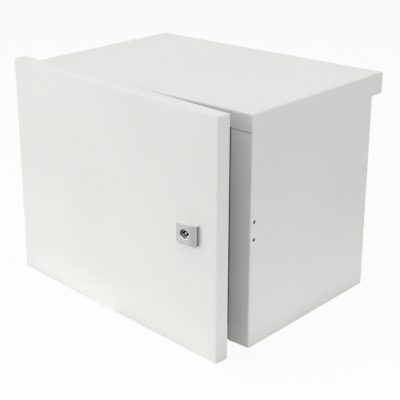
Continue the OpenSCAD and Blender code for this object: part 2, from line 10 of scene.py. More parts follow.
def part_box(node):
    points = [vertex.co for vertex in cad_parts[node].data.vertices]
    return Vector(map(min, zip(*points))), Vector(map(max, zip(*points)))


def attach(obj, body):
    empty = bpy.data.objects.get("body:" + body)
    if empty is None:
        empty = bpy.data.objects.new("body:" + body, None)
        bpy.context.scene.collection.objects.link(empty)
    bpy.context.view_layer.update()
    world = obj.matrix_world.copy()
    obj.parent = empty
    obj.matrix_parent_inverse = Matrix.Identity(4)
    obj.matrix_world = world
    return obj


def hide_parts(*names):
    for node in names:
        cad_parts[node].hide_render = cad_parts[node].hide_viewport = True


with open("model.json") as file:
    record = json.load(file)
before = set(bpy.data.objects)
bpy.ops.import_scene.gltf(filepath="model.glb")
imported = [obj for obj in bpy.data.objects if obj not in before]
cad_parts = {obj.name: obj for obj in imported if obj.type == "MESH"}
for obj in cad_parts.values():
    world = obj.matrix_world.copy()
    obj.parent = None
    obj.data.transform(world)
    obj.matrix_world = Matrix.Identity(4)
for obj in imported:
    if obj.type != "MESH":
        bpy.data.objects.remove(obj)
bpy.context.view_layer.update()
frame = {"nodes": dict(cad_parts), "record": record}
record = frame["record"]
scene = bpy.context.scene
scene.view_settings.view_transform = "Standard"

MM = 0.001
UP = Vector((0.0, 0.0, 1.0))
RIGHT = Vector((1.0, 0.0, 0.0))
FORWARD = Vector((0.0, -1.0, 0.0))

# Camera as fitted to the corners in the photograph: metres, degrees and millimetres
CAMERA_AT = (1.1314, -1.2895, 0.7865)
CAMERA_AZIMUTH = 41.056
CAMERA_ELEVATION = 20.603
CAMERA_ROLL = 0.143
CAMERA_LENS = 92.41
SENSOR = 36.0

# Light and floor
WORLD_STRENGTH = 0.615
FLOOR_SIZE = 60.0
FLOOR_GLOW = 0.90
LAMP_LEVEL = 1.0 * MM
FOOT_GAP = 1.0 * MM
FOOT_DEPTH = 50.0 * MM

# Colours, linear
WHITE = (1.0, 1.0, 1.0)
COAT = (0.775, 0.785, 0.755)
ZINC = (0.62, 0.63, 0.64)
SILVER = (1.00, 1.00, 0.985)
DARK_STEEL = (0.07, 0.07, 0.075)
RUBBER = (0.020, 0.020, 0.022)
FOAM = (0.040, 0.040, 0.043)
FLOOR = (0.86, 0.86, 0.86)

# Door and lock at rest, from the joints, and the turn that brings the shut door there
JOINTS = {joint["name"]: joint for joint in record["behaviour"]["joints"]}
HINGE = Vector(JOINTS["door_hinge"]["pos_m"])
LOCK = Vector(JOINTS["lock_turn"]["pos_m"])
INWARD = Vector(JOINTS["lock_turn"]["axis"]).normalized()
DOOR_RIGHT = INWARD.cross(UP)
AJAR = math.atan2(INWARD.x, INWARD.y)
DOOR_TURN = Matrix.Translation(HINGE) @ Matrix.Rotation(-AJAR, 4, "Z") @ Matrix.Translation(-HINGE)

# Door when shut
DOOR_HALF_WIDTH = 251.0 * MM
DOOR_FACE = -187.5 * MM
DOOR_BACK = -162.5 * MM

# Foam strip along the door's turned edge
SEAL_FOOT = 1.0 * MM
SEAL_HEAD = 381.0 * MM
SEAL_INSET = 8.5 * MM
SEAL_HALF_WIDTH = 4.0 * MM
SEAL_THICKNESS = 1.6 * MM
SEAL_ROUND = 1.2 * MM

# Threads with their nuts and washers: lengths, and shares of the pitch, the flats and the thickness
Thread = namedtuple("Thread", "radius pitch flats height")
LARGE = Thread(radius=4.0 * MM, pitch=1.25 * MM, flats=13.0 * MM, height=6.5 * MM)
SMALL = Thread(radius=3.0 * MM, pitch=1.0 * MM, flats=10.0 * MM, height=5.0 * MM)
THREAD_DEPTH = 0.6
NUT_PLAY = 0.05 * MM
NUT_FACE = 0.475
NUT_SINK = 0.05
NUT_CHAMFER = math.radians(30)
WASHER_THICKNESS = 1.6 * MM
WASHER_RIM = 2.0 * MM
WASHER_PLAY = 0.3 * MM
WASHER_SOFT = 0.22
DOOR_EARTH_LENGTH = 18.0 * MM

# Fasteners of the lock, with the screw's heights from its tip
BARREL_RADIUS = 9.0 * MM
LOCK_NUT_FLATS = 21.0 * MM
LOCK_NUT_HEIGHT = 6.5 * MM
LOCK_WASHER_RADIUS = 12.8 * MM
LOCK_WASHER_THICKNESS = 1.2 * MM
SCREW_RADIUS = 2.5 * MM
SCREW_LENGTH = 15.0 * MM
SCREW_TIP = 0.3 * MM
SCREW_SEAT = 11.5 * MM
SCREW_HEAD_RADIUS = 4.5 * MM
SCREW_DOME = 1.5 * MM
SCREW_SOCKET = 4.0 * MM
SCREW_SOCKET_FLOOR = 13.0 * MM
SCREW_SOCKET_BEVEL = 0.2 * MM
SCREW_WASHER_RADIUS = 7.0 * MM
SCREW_PLAY = 0.1 * MM

# Grommets: radii, and heights from the top of the gland plate
GROMMET_RADIUS = 19.0 * MM
GROMMET_GROOVE = 16.0 * MM
GROMMET_BORE = 13.0 * MM
GROMMET_PIP = 2.0 * MM
GROMMET_TOP = 3.0 * MM
GROMMET_GRIP = -2.0 * MM
GROMMET_FOOT = -4.0 * MM
INNER_ROUND = 1.0 * MM
OUTER_ROUND = 1.2 * MM
LOWER_ROUND = 0.8 * MM

# Membrane of a grommet: outer radius and height of each step, and how far a tread falls and a riser leans
MEMBRANE_STEPS = (
    (4.2 * MM, 2.2 * MM),
    (7.4 * MM, 1.2 * MM),
    (10.4 * MM, 0.2 * MM),
    (13.0 * MM, -0.5 * MM),
)
MEMBRANE_FALL = 0.1 * MM
MEMBRANE_SLANT = 0.3 * MM

# Fineness of the meshes
ARC_STEPS = 4
CORNER_STEPS = 10
TURN_STEPS = 48
THREAD_STEPS = 24
THREAD_LEVELS = 4
SHARP = math.radians(32)
MERGE = 0.002 * MM
SLIVER = 0.001 * MM

# Lock head, in millimetres to the right of, behind, above and out from the lock's axis: where its painted
# shade, painted highlights and polish change
FACE_ENDS = (3.0, 13.0)
TOP_EDGE = 14.7
FREE_EDGE = 18.15
BORE_EDGE = 7.95
RING_INNER = 7.8
RING_OUTER = 8.9
RING_FRONT = -4.0
KEY_FACE = -8.7
KEY_END = 6.0
SOFT = 0.2
KEY_SOFT = 0.4

# Polished part of the ring, which also carries a painted highlight: where it begins, and how far that
# shifts over a height above and below
POLISH_AND_HIGHLIGHT_BEGINS = (-7.0, -3.0)
POLISH_AND_HIGHLIGHT_SHIFT = 8.0
POLISH_AND_HIGHLIGHT_HEIGHT = 10.0

# Shades of the lock's metal, as shares of its colour: painted shade on the face, in the bore and in the
# keyhole, painted highlights on the top, the free edge and the ring, random tone on the plug
FACE_PAINTED_SHADES = (0.545, 0.425)
TOP_PAINTED_LIGHT = 0.93
FREE_EDGE_HIGHLIGHT = 0.50
RING_PAINTED_HIGHLIGHT = 0.90
BORE_PAINTED_SHADE = 0.55
PLUG_SHADES = (0.50, 0.56)
KEYHOLE_PAINTED_SHADE = 0.03

# Range that most of a noise texture's values lie in
NOISE_SPAN = (0.3, 0.7)


def tint(colour, factor):
    """A colour made darker or lighter, and no lighter than white."""
    return tuple(min(1.0, channel * factor) for channel in colour)


class Shader:
    """A principled material, with helpers that add nodes to it."""

    def __init__(self, name, **values):
        self.material = bpy.data.materials.new(name)
        self.material.use_nodes = True
        self.tree = self.material.node_tree
        self.principled = self.tree.nodes["Principled BSDF"]
        for socket, value in values.items():
            self.principled.inputs[socket].default_value = value
        self.place = self.add("ShaderNodeTexCoord").outputs["Object"]
        self.normal = None

    def add(self, kind, **settings):
        node = self.tree.nodes.new(kind)
        for name, value in settings.items():
            setattr(node, name, value)
        return node

    def link(self, source, target):
        self.tree.links.new(source, target)

    def noise(self, scale, detail=2.0, rough=0.5, output="Fac"):
        node = self.add("ShaderNodeTexNoise")
        node.inputs["Scale"].default_value = scale
        node.inputs["Detail"].default_value = detail
        node.inputs["Roughness"].default_value = rough
        self.link(self.place, node.inputs["Vector"])
        return node.outputs[output]

    def cells(self, scale, output, vector=None):
        node = self.add("ShaderNodeTexVoronoi")
        node.inputs["Scale"].default_value = scale
        self.link(vector or self.place, node.inputs["Vector"])
        return node.outputs[output]

    def warped(self, scale, amount):
        """Coordinates shifted by noise, for uneven outlines."""
        node = self.add("ShaderNodeVectorMath", operation="MULTIPLY_ADD")
        self.link(self.noise(scale, output="Color"), node.inputs[0])
        node.inputs[1].default_value = (amount, amount, amount)
        self.link(self.place, node.inputs[2])
        return node.outputs["Vector"]

    def seen_from(self, place, turn):
        """Coordinates from a place whose axes are turned about Z."""
        node = self.add("ShaderNodeMapping", vector_type="TEXTURE")
        node.inputs["Location"].default_value = place
        node.inputs["Rotation"].default_value = (0.0, 0.0, turn)
        self.link(self.place, node.inputs["Vector"])
        return node.outputs["Vector"]

    def scaled(self, vector, factors):
        node = self.add("ShaderNodeMapping")
        node.inputs["Scale"].default_value = factors
        self.link(vector, node.inputs["Vector"])
        return node.outputs["Vector"]

    def parts(self, vector):
        node = self.add("ShaderNodeSeparateXYZ")
        self.link(vector, node.inputs["Vector"])
        return node.outputs["X"], node.outputs["Y"], node.outputs["Z"]

    def length(self, vector):
        node = self.add("ShaderNodeVectorMath", operation="LENGTH")
        self.link(vector, node.inputs[0])
        return node.outputs["Value"]

    def combine(self, operation, first, *others):
        """One operation on two or more values, from left to right."""
        for other in others:
            node = self.add("ShaderNodeMath", operation=operation)
            self.link(first, node.inputs[0])
            self.link(other, node.inputs[1])
            first = node.outputs["Value"]
        return first

    def grade(self, source, start, end, first, last):
        """A value that goes from first to last while the source goes from start to end."""
        node = self.add("ShaderNodeMapRange")
        limits = {"From Min": start, "From Max": end, "To Min": first, "To Max": last}
        for socket, value in limits.items():
            node.inputs[socket].default_value = value
        self.link(source, node.inputs["Value"])
        return node.outputs["Result"]

    def edge(self, source, start, first, last, soft=SOFT):
        """A value that changes from first to last just past one place."""
        return self.grade(source, start, start + soft, first, last)

    def colour(self, source, colour, dark, light, span=NOISE_SPAN):
        """Base colour between a darker and a lighter tint."""
        node = self.add("ShaderNodeValToRGB")
        for element, position, factor in zip(node.color_ramp.elements, span, (dark, light)):
            element.position = position
            element.color = (*tint(colour, factor), 1.0)
        self.link(source, node.inputs["Fac"])
        self.link(node.outputs["Color"], self.principled.inputs["Base Color"])

    def roughness(self, source):
        self.link(source, self.principled.inputs["Roughness"])

    def bump(self, height, strength, depth):
        """A layer of bumps on top of the layers before it."""
        node = self.add("ShaderNodeBump")
        node.inputs["Strength"].default_value = strength
        node.inputs["Distance"].default_value = depth
        self.link(height, node.inputs["Height"])
        if self.normal is not None:
            self.link(self.normal, node.inputs["Normal"])
        self.normal = node.outputs["Normal"]
        self.link(self.normal, self.principled.inputs["Normal"])


def powder_coat():
    """Satin coat with faint clouds of shade and a fine texture."""
    shader = Shader("powder_coat", IOR=1.5)
    shader.colour(shader.noise(5.0, detail=4.0), COAT, dark=0.975, light=1.02)
    shader.roughness(shader.grade(shader.noise(60.0, detail=3.0), *NOISE_SPAN, first=0.36, last=0.46))
    shader.bump(shader.noise(420.0), strength=0.10, depth=0.4 * MM)
    shader.bump(shader.noise(2600.0, detail=1.0), strength=0.06, depth=0.1 * MM)
    return shader.material


def galvanised_sheet():
    """Hot-dip zinc: crystals of uneven outline, each with its own shade, under a fine grain."""
    shader = Shader("galvanised_sheet", Metallic=1.0)
    crystal_scale = 85.0
    crystal_span = (0.1, 0.9)
    uneven = shader.warped(130.0, 12.0 * MM)
    fine = shader.noise(700.0, detail=4.0, rough=0.7)
    grain = shader.grade(fine, *NOISE_SPAN, first=0.88, last=1.12)
    shade = shader.combine("MULTIPLY", shader.cells(crystal_scale, "Color", uneven), grain)
    shader.colour(shade, ZINC, dark=0.86, light=1.10, span=crystal_span)
    shader.roughness(shader.grade(shade, *crystal_span, first=0.48, last=0.34))
    shader.bump(shader.cells(crystal_scale, "Distance", uneven), strength=0.04, depth=0.2 * MM)
    shader.bump(shader.noise(900.0), strength=0.08, depth=0.1 * MM)
    return shader.material


def zinc_plate():
    """Thin zinc on fasteners and fittings."""
    shader = Shader("zinc_plate", Metallic=1.0)
    shader.colour(shader.noise(120.0, detail=3.0), ZINC, dark=0.90, light=1.06)
    shader.roughness(shader.grade(shader.noise(300.0), *NOISE_SPAN, first=0.26, last=0.42))
    shader.bump(shader.noise(1800.0), strength=0.08, depth=0.1 * MM)
    return shader.material


def lock_metal(name):
    """Bright metal, and coordinates in millimetres from the lock's axis."""
    shader = Shader(name, Metallic=1.0)
    shader.bump(shader.noise(1500.0), strength=0.10, depth=0.1 * MM)
    return shader, shader.scaled(shader.seen_from(LOCK, -AJAR), (1 / MM, 1 / MM, 1 / MM))


def polished_and_highlit_ring(shader, x, y, z, out):
    """How far a place belongs to the polished part of the ring, which also carries a painted highlight,
    from 0 to 1.
    """
    shift = shader.grade(z, -POLISH_AND_HIGHLIGHT_HEIGHT, POLISH_AND_HIGHLIGHT_HEIGHT, first=POLISH_AND_HIGHLIGHT_SHIFT, last=-POLISH_AND_HIGHLIGHT_SHIFT)
    begun = shader.grade(shader.combine("ADD", x, shift), *POLISH_AND_HIGHLIGHT_BEGINS, first=0.0, last=1.0)
    past_inner = shader.edge(out, RING_INNER, first=0.0, last=1.0)
    before_outer = shader.edge(out, RING_OUTER, first=1.0, last=0.0)
    in_front = shader.edge(y, RING_FRONT, first=1.0, last=0.0)
    return shader.combine("MULTIPLY", past_inner, before_outer, in_front, begun)


def satin_casting():
    """Lock head: painted shade that darkens the face towards its free side and in the bore, and painted
    highlights on the top, the free edge and the polished ring.
    """
    shader, local = lock_metal("satin_casting")
    x, y, z = shader.parts(local)
    out = shader.length(shader.scaled(local, (1.0, 0.0, 1.0)))
    fleck = shader.grade(shader.noise(260.0, detail=3.0), *NOISE_SPAN, first=0.96, last=1.04)
    # Painted shade: darker inside the bore of the ring, where the recess lies in shadow.
    bore = shader.edge(out, BORE_EDGE, first=BORE_PAINTED_SHADE, last=1.0)
    # Painted shade: the face darkens towards its free side; the fleck is random tone.
    face = shader.combine("MULTIPLY", shader.grade(x, *FACE_ENDS, *FACE_PAINTED_SHADES), fleck, bore)
    # Painted light: the top face is made lighter than the front face.
    top = shader.edge(z, TOP_EDGE, first=0.0, last=TOP_PAINTED_LIGHT)
    # Painted highlight: the bevel and the free side are made lighter than the face beside them.
    painted_free_edge_highlight = shader.edge(x, FREE_EDGE, first=0.0, last=FREE_EDGE_HIGHLIGHT)
    ring = polished_and_highlit_ring(shader, x, y, z, out)
    # Painted highlight: the ring is lighter in colour towards the bottom and right, not at the upper
    # left; the same mask lowers its roughness.
    painted_ring_highlight = shader.grade(ring, 0.0, 1.0, first=0.0, last=RING_PAINTED_HIGHLIGHT)
    shade = shader.combine("MAXIMUM", face, top, painted_free_edge_highlight, painted_ring_highlight)
    shader.colour(shade, SILVER, dark=0.0, light=1.0, span=(0.0, 1.0))
    satin = shader.grade(shader.noise(700.0), *NOISE_SPAN, first=0.32, last=0.42)
    polish = shader.grade(ring, 0.0, 1.0, first=0.5, last=0.12)
    shader.roughness(shader.combine("MINIMUM", satin, polish))
    return shader.material


def plug_metal():
    """Lock plug, with painted shade inside the keyhole."""
    shader, local = lock_metal("plug_metal")
    _, depth, _ = shader.parts(local)
    fleck = shader.grade(shader.noise(260.0, detail=3.0), *NOISE_SPAN, *PLUG_SHADES)
    past_face = shader.edge(depth, KEY_FACE, first=0.0, last=1.0, soft=KEY_SOFT)
    before_end = shader.edge(depth, KEY_END, first=1.0, last=0.0, soft=KEY_SOFT)
    inside = shader.combine("MULTIPLY", past_face, before_end)
    # Painted shade: near black inside the keyhole, between its face and its end.
    keyhole = shader.grade(inside, 0.0, 1.0, first=1.0, last=KEYHOLE_PAINTED_SHADE)
    shade = shader.combine("MULTIPLY", fleck, keyhole)
    shader.colour(shade, SILVER, dark=0.0, light=1.0, span=(0.0, 1.0))
    shader.roughness(shader.grade(shader.noise(700.0), *NOISE_SPAN, first=0.26, last=0.36))
    return shader.material


def blackened_steel():
    """Oiled black oxide of the cam's screw."""
    shader = Shader("blackened_steel", Metallic=1.0)
    shader.colour(shader.noise(200.0, detail=3.0), DARK_STEEL, dark=0.8, light=1.3)
    shader.roughness(shader.grade(shader.noise(500.0), *NOISE_SPAN, first=0.36, last=0.52))
    shader.bump(shader.noise(2000.0), strength=0.1, depth=0.1 * MM)
    return shader.material


def black_rubber():
    """Matt moulded rubber."""
    shader = Shader("black_rubber")
    shader.colour(shader.noise(90.0, detail=3.0), RUBBER, dark=0.8, light=1.4)
    shader.roughness(shader.grade(shader.noise(400.0), *NOISE_SPAN, first=0.55, last=0.75))
    shader.bump(shader.noise(1500.0, detail=3.0), strength=0.2, depth=0.2 * MM)
    return shader.material


def cell_foam():
    """Dark foam with fine open cells."""
    shader = Shader("cell_foam")
    pores = shader.cells(900.0, "Distance")
    shader.colour(pores, FOAM, dark=0.5, light=1.3, span=(0.1, 0.6))
    shader.roughness(shader.grade(shader.noise(300.0), *NOISE_SPAN, first=0.85, last=0.97))
    shader.bump(pores, strength=0.5, depth=0.5 * MM)
    return shader.material


MATERIALS = {
    "coat": powder_coat(),
    "zinc": zinc_plate(),
    "silver": satin_casting(),
    "dark_steel": blackened_steel(),
    "rubber": black_rubber(),
    "foam": cell_foam(),
}
sheet_material = galvanised_sheet()
OWN_MATERIAL = {
    "mounting_plate": sheet_material,
    "gland_plate": sheet_material,
    "lock_plug": plug_metal(),
}
SLOTS = {row["node"]: row["material_slot"] for row in record["subparts"]}
BODIES = {node: body for body, names in record["behaviour"]["bodies"].items() for node in names}

for node, slot in SLOTS.items():
    materials = frame["nodes"][node].data.materials
    materials.clear()
    materials.append(OWN_MATERIAL.get(node) or MATERIALS[slot])


def box(node):
    """Corners of a node's box, as vectors."""
    low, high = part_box(node)
    return Vector(low), Vector(high)


def middle(node):
    """Middle of a node's box."""
    low, high = box(node)
    return (low + high) / 2


def arc(centre, radius, start, end):
    """Points of a round stretch of an outline, between two angles in degrees."""
    points = []
    for k in range(ARC_STEPS + 1):
        angle = math.radians(start + (end - start) * k / ARC_STEPS)
        points.append((centre[0] + radius * math.cos(angle), centre[1] + radius * math.sin(angle)))
    return points


def turned(section, hollow):
    """A form round the Z axis from its half section at each angle, closed round a hole or capped."""
    count = len(section(0.0))
    verts, faces = [], []
    for k in range(TURN_STEPS):
        angle = 2 * math.pi * k / TURN_STEPS
        verts += [(radius * math.cos(angle), radius * math.sin(angle), z) for radius, z in section(angle)]
    for k in range(TURN_STEPS):
        here, beside = k * count, (k + 1) % TURN_STEPS * count
        for i in range(count if hollow else count - 1):
            j = (i + 1) % count
            faces.append((here + i, beside + i, beside + j, here + j))
    if not hollow:
        faces.append([k * count for k in range(TURN_STEPS)])
        faces.append([k * count + count - 1 for k in range(TURN_STEPS)])
    return verts, faces


def hex_radius(angle, flats):
    """Distance from the middle of a hexagon to its edge, at one angle."""
    return flats / 2 / math.cos(angle % (math.pi / 3) - math.pi / 6)


def nut(flats, height, hole):
    """Hexagon nut with both faces chamfered and its hole countersunk."""
    face = NUT_FACE * flats
    sink = NUT_SINK * flats

    def section(angle):
        side = hex_radius(angle, flats)
        cut = (side - face) * math.tan(NUT_CHAMFER)
        return [
            (hole, sink), (hole + sink, 0.0), (face, 0.0), (side, cut),
            (side, height - cut), (face, height), (hole + sink, height), (hole, height - sink),
        ]

    return turned(section, hollow=True)


def washer(radius, height, hole):
    """Washer with softly stamped edges."""
    soft = WASHER_SOFT * height
    rim = [
        (hole, soft), (hole + soft, 0.0), (radius - soft, 0.0), (radius, soft),
        (radius, height - soft), (radius - soft, height), (hole + soft, height), (hole, height - soft),
    ]
    return turned(lambda angle: rim, hollow=True)


def threaded(radius, pitch, length):
    """Threaded rod with chamfered ends: a helix of crests and roots."""
    root = radius - THREAD_DEPTH * pitch
    rows = THREAD_LEVELS * (math.ceil(length / pitch) + 3)
    verts, faces = [], []
    for k in range(THREAD_STEPS):
        angle = 2 * math.pi * k / THREAD_STEPS
        for j in range(rows):
            z = min(max((j / THREAD_LEVELS - 1 + k / THREAD_STEPS) * pitch, 0.0), length)
            crest = abs(j % THREAD_LEVELS / (THREAD_LEVELS / 2) - 1)
            reach = min(root + (radius - root) * crest, root + z, root + length - z)
            verts.append((reach * math.cos(angle), reach * math.sin(angle), z))
    for k in range(THREAD_STEPS):
        here, beside = k * rows, (k + 1) % THREAD_STEPS * rows
        ahead = THREAD_LEVELS if k == THREAD_STEPS - 1 else 0
        for j in range(rows - 1 - ahead):
            faces.append((here + j, beside + j + ahead, beside + j + 1 + ahead, here + j + 1))
    return verts, faces


def facing(place, along, across):
    """Placing that turns a form's Z axis along one direction and its X axis along another."""
    turn = Matrix((across, along.cross(across), along)).transposed().to_4x4()
    return Matrix.Translation(place) @ turn


def copies(form, places):
    """The same form at each of several placings."""
    return [(form, place) for place in places]


def stand_for(node, name, parts):
    """One detailed piece, made of placed forms, that stands for a CAD node."""
    work = bmesh.new()
    for (verts, faces), place in parts:
        made = [work.verts.new(place @ Vector(point)) for point in verts]
        for face in faces:
            work.faces.new([made[i] for i in face])
    bmesh.ops.remove_doubles(work, verts=work.verts, dist=MERGE)
    bmesh.ops.dissolve_degenerate(work, edges=work.edges, dist=SLIVER)
    open_edges = [edge for edge in work.edges if edge.is_boundary]
    bmesh.ops.holes_fill(work, edges=open_edges, sides=0)
    bmesh.ops.recalc_face_normals(work, faces=work.faces)
    mesh = bpy.data.meshes.new(name)
    work.to_mesh(mesh)
    work.free()
    mesh.shade_smooth()
    mesh.set_sharp_from_angle(angle=SHARP)
    mesh.materials.append(MATERIALS[SLOTS[node]])
    piece = bpy.data.objects.new(name, mesh)
    scene.collection.objects.link(piece)
    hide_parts(node)
    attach(piece, BODIES[node])


def wall_places(node, reach_x, reach_z):
    """Placings of four equal pieces at the corners of a node's box, which stand forward from its rear."""
    low, high = box(node)
    return [
        facing(Vector((x, high.y, z)), FORWARD, RIGHT)
        for x in (low.x + reach_x, high.x - reach_x)
        for z in (low.z + reach_z, high.z - reach_z)
    ]


def floor_places(node, reach_x, reach_y):
    """Placings of four equal pieces at the corners of a node's box, which stand up from its foot."""
    low, high = box(node)
    return [
        facing(Vector((x, y, low.z)), UP, RIGHT)
        for x in (low.x + reach_x, high.x - reach_x)
        for y in (low.y + reach_y, high.y - reach_y)
    ]


def door_place(node, length):
    """Placing of a piece that runs inward through the door, from its middle and length."""
    return facing(middle(node) - INWARD * length / 2, INWARD, DOOR_RIGHT)


def plate_fasteners():
    """Threaded studs, washers and nuts that hold the mounting plate."""
    low, high = box("mounting_studs")
    rod = threaded(LARGE.radius, LARGE.pitch, high.y - low.y)
    places = wall_places("mounting_studs", LARGE.radius, LARGE.radius)
    stand_for("mounting_studs", "plate_studs", copies(rod, places))
    hexagon = nut(LARGE.flats, LARGE.height, LARGE.radius + NUT_PLAY)
    places = wall_places("mounting_nuts", hex_radius(0.0, LARGE.flats), LARGE.flats / 2)
    stand_for("mounting_nuts", "plate_nuts", copies(hexagon, places))
    reach = LARGE.flats / 2 + WASHER_RIM
    disc = washer(reach, WASHER_THICKNESS, LARGE.radius + WASHER_PLAY)
    places = wall_places("mounting_washers", reach, reach)
    stand_for("mounting_washers", "plate_washers", copies(disc, places))


def gland_fasteners():
    """Threaded studs and nuts that hold the gland plate."""
    low, high = box("gland_studs")
    rod = threaded(SMALL.radius, SMALL.pitch, high.z - low.z)
    places = floor_places("gland_studs", SMALL.radius, SMALL.radius)
    stand_for("gland_studs", "gland_plate_studs", copies(rod, places))
    hexagon = nut(SMALL.flats, SMALL.height, SMALL.radius + NUT_PLAY)
    places = floor_places("gland_nuts", hex_radius(0.0, SMALL.flats), SMALL.flats / 2)
    stand_for("gland_nuts", "gland_plate_nuts", copies(hexagon, places))


def earth_points():
    """Threaded earth studs with their nuts, on the floor and in the door."""
    low, high = box("earth_stud")
    x, y = middle("earth_stud").xy
    rod = threaded(LARGE.radius, LARGE.pitch, high.z - low.z)
    place = facing(Vector((x, y, low.z)), UP, RIGHT)
    stand_for("earth_stud", "floor_earth_stud", [(rod, place)])
    hexagon = nut(LARGE.flats, LARGE.height, LARGE.radius + NUT_PLAY)
    low, high = box("earth_nuts")
    places = [facing(Vector((x, y, z)), UP, RIGHT) for z in (low.z, high.z - LARGE.height)]
    stand_for("earth_nuts", "floor_earth_nuts", copies(hexagon, places))

    rod = threaded(SMALL.radius, SMALL.pitch, DOOR_EARTH_LENGTH)
    place = door_place("door_earth_stud", DOOR_EARTH_LENGTH)
    stand_for("door_earth_stud", "door_earth_rod", [(rod, place)])
    hexagon = nut(SMALL.flats, SMALL.height, SMALL.radius + NUT_PLAY)
    place = door_place("door_earth_nut", SMALL.height)
    stand_for("door_earth_nut", "door_earth_hexagon", [(hexagon, place)])


def lock_fasteners():
    """Nut and washer on the lock's barrel."""
    hexagon = nut(LOCK_NUT_FLATS, LOCK_NUT_HEIGHT, BARREL_RADIUS + NUT_PLAY)
    place = door_place("lock_nut", LOCK_NUT_HEIGHT)
    stand_for("lock_nut", "lock_hexagon", [(hexagon, place)])
    disc = washer(LOCK_WASHER_RADIUS, LOCK_WASHER_THICKNESS, BARREL_RADIUS + WASHER_PLAY)
    place = door_place("lock_washer", LOCK_WASHER_THICKNESS)
    stand_for("lock_washer", "lock_disc", [(disc, place)])


def cam_screw():
    """Screw with a domed head, a hexagon socket and a washer under the head."""
    bevel = SCREW_SOCKET_BEVEL
    shank = [(SCREW_RADIUS - SCREW_TIP, 0.0), (SCREW_RADIUS, SCREW_TIP), (SCREW_RADIUS, SCREW_SEAT)]
    head = [(SCREW_HEAD_RADIUS, SCREW_SEAT)]
    head += arc((SCREW_HEAD_RADIUS - SCREW_DOME, SCREW_LENGTH - SCREW_DOME), SCREW_DOME, 0, 90)

    def section(angle):
        flat = hex_radius(angle, SCREW_SOCKET)
        socket = [(flat + bevel, SCREW_LENGTH), (flat, SCREW_LENGTH - bevel), (flat, SCREW_SOCKET_FLOOR)]
        return shank + head + socket

    screw = turned(section, hollow=False)
    place = door_place("lock_cam_screw", SCREW_LENGTH)
    disc = washer(SCREW_WASHER_RADIUS, WASHER_THICKNESS, SCREW_RADIUS + SCREW_PLAY)
    under_head = place @ Matrix.Translation((0.0, 0.0, SCREW_SEAT - WASHER_THICKNESS))
    stand_for("lock_cam_screw", "cam_socket_screw", [(screw, place), (disc, under_head)])


def stepped_grommets():
    """Grommets with rounded lips and a membrane of steps, one to be cut for each cable size."""
    outline = []
    start = GROMMET_PIP
    for radius, level in MEMBRANE_STEPS:
        outline += [(start, level), (radius, level - MEMBRANE_FALL)]
        start = radius + MEMBRANE_SLANT
    outline += arc((GROMMET_BORE + INNER_ROUND, GROMMET_TOP - INNER_ROUND), INNER_ROUND, 180, 90)
    outline += arc((GROMMET_RADIUS - OUTER_ROUND, GROMMET_TOP - OUTER_ROUND), OUTER_ROUND, 90, 0)
    outline += [(GROMMET_RADIUS, 0.0), (GROMMET_GROOVE, 0.0)]
    outline += [(GROMMET_GROOVE, GROMMET_GRIP), (GROMMET_RADIUS, GROMMET_GRIP)]
    outline += arc((GROMMET_RADIUS - LOWER_ROUND, GROMMET_FOOT + LOWER_ROUND), LOWER_ROUND, 0, -90)
    outline += [(GROMMET_BORE, GROMMET_FOOT), (GROMMET_BORE, GROMMET_GRIP)]
    outline += [(GROMMET_PIP, GROMMET_GRIP)]
    form = turned(lambda angle: outline, hollow=False)
    low, high = box("cable_grommets")
    centre = middle("cable_grommets")
    places = [
        Matrix.Translation((x, centre.y, high.z - GROMMET_TOP))
        for x in (low.x + GROMMET_RADIUS, centre.x, high.x - GROMMET_RADIUS)
    ]
    stand_for("cable_grommets", "stepped_grommets", copies(form, places))


def foam_gasket():
    """Foam strip with rounded edges that runs round the door, with round corners."""
    flat = SEAL_HALF_WIDTH - SEAL_ROUND
    profile = [(-SEAL_HALF_WIDTH, 0.0)]
    profile += arc((-flat, SEAL_THICKNESS - SEAL_ROUND), SEAL_ROUND, 180, 90)
    profile += arc((flat, SEAL_THICKNESS - SEAL_ROUND), SEAL_ROUND, 90, 0)
    profile += [(SEAL_HALF_WIDTH, 0.0)]
    turn = 2 * SEAL_INSET
    left, right = turn - DOOR_HALF_WIDTH, DOOR_HALF_WIDTH - turn
    foot, head = SEAL_FOOT + turn, SEAL_HEAD - turn
    verts, faces = [], []
    for corner, (x, z) in enumerate(((right, head), (left, head), (left, foot), (right, foot))):
        for step in range(CORNER_STEPS + 1):
            angle = math.pi / 2 * (corner + step / CORNER_STEPS)
            for across, proud in profile:
                bend = SEAL_INSET - across
                verts.append((x + bend * math.cos(angle), DOOR_BACK + proud, z + bend * math.sin(angle)))
    count = len(profile)
    stations = len(verts) // count
    for k in range(stations):
        here, beside = k * count, (k + 1) % stations * count
        for i in range(count):
            j = (i + 1) % count
            faces.append((here + i, beside + i, beside + j, here + j))
    stand_for("door_gasket", "door_foam_strip", [((verts, faces), DOOR_TURN)])


plate_fasteners()
gland_fasteners()
earth_points()
lock_fasteners()
cam_screw()
stepped_grommets()
foam_gasket()


def light_path_mix(tree, shown, other):
    """Shows one shader to camera, glossy and transmission rays and the other one to the rest."""
    path = tree.nodes.new("ShaderNodeLightPath")
    seen = path.outputs["Is Camera Ray"]
    for name in ("Is Glossy Ray", "Is Transmission Ray"):
        either = tree.nodes.new("ShaderNodeMath")
        either.operation = "MAXIMUM"
        tree.links.new(seen, either.inputs[0])
        tree.links.new(path.outputs[name], either.inputs[1])
        seen = either.outputs["Value"]
    mix = tree.nodes.new("ShaderNodeMixShader")
    tree.links.new(seen, mix.inputs["Fac"])
    tree.links.new(other, mix.inputs[1])
    tree.links.new(shown, mix.inputs[2])
    return mix.outputs["Shader"]


def background(tree, strength):
    """White of one strength for the world."""
    node = tree.nodes.new("ShaderNodeBackground")
    node.inputs["Color"].default_value = (*WHITE, 1.0)
    node.inputs["Strength"].default_value = strength
    return node.outputs["Background"]


